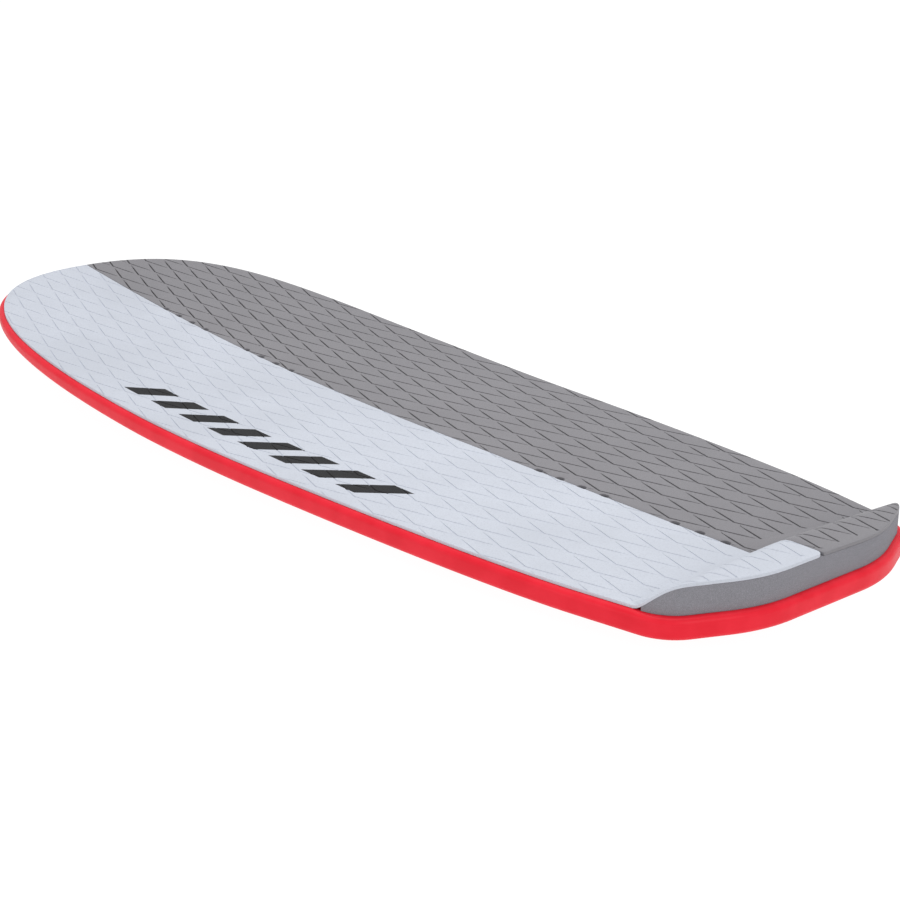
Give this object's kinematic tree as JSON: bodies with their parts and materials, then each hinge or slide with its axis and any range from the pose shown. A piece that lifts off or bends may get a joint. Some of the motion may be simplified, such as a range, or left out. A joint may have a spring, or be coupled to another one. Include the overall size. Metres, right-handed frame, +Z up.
{
  "type": "foil board",
  "caption": "Short hard-shelled riding board with a full-length grooved foam deck pad in two halves, a raised tail kick, painted rails and sliding foil tracks underneath.",
  "frame": {"origin": "middle of the board's bounding box on the floor, under the flat bottom", "axes": "+X from the nose to the tail, +Y to the grey (starboard) half of the deck, +Z up out of the deck"},
  "size_m": [1.27, 0.4544, 0.0866],
  "materials": {
    "hull_paint": "satin red paint over fibreglass",
    "laminate": "black-tinted fibreglass laminate",
    "core_foam": "expanded polystyrene foam",
    "dense_foam": "closed-cell structural foam",
    "stringer_wood": "sanded paulownia",
    "moulded_black": "glass-filled nylon",
    "stainless": "machined stainless steel",
    "membrane": "white expanded membrane",
    "seal_rubber": "nitrile rubber",
    "white_eva": "soft bluish white EVA foam with cut grooves",
    "grey_eva": "soft mid-grey EVA foam with cut grooves",
    "wedge_eva": "cut grey EVA foam"
  },
  "bodies": {
    "board": {"hull_shell": "hull_paint", "deck_panel": "laminate", "core_port": "core_foam", "core_starboard": "core_foam", "stringer": "stringer_wood", "track_block_port": "dense_foam", "track_block_starboard": "dense_foam", "track_port": "moulded_black", "track_starboard": "moulded_black", "vent_body": "moulded_black", "vent_membrane": "membrane", "pad_white": "white_eva", "pad_grey": "grey_eva", "kick_wedge": "wedge_eva"},
    "nut_port_front": {"track_nut_port_front": "stainless"},
    "nut_port_rear": {"track_nut_port_rear": "stainless"},
    "nut_starboard_front": {"track_nut_starboard_front": "stainless"},
    "nut_starboard_rear": {"track_nut_starboard_rear": "stainless"},
    "vent_seal": {"vent_seal": "seal_rubber"},
    "vent_screw": {"vent_screw": "stainless"}
  },
  "joints": [
    {"name": "nut_port_front_slide", "type": "slide", "parent": "board", "child": "nut_port_front", "axis": [1, 0, 0], "range_m": [-0.015, 0.055]},
    {"name": "nut_port_rear_slide", "type": "slide", "parent": "board", "child": "nut_port_rear", "axis": [1, 0, 0], "range_m": [-0.055, 0.015]},
    {"name": "nut_starboard_front_slide", "type": "slide", "parent": "board", "child": "nut_starboard_front", "axis": [1, 0, 0], "range_m": [-0.015, 0.055]},
    {"name": "nut_starboard_rear_slide", "type": "slide", "parent": "board", "child": "nut_starboard_rear", "axis": [1, 0, 0], "range_m": [-0.055, 0.015]},
    {"name": "vent_lift", "type": "slide", "parent": "board", "child": "vent_seal", "axis": [0, 0, -1], "range_m": [0, 0.0012]},
    {"name": "vent_turn", "type": "hinge", "parent": "vent_seal", "child": "vent_screw", "pos_m": [0.15, 0.11, 0.003], "axis": [0, 0, -1], "range_deg": [0, 432]}
  ],
  "couplings": [
    {"joint": "vent_turn", "follows": "vent_lift", "rad_per_m": 6283.2}
  ]
}
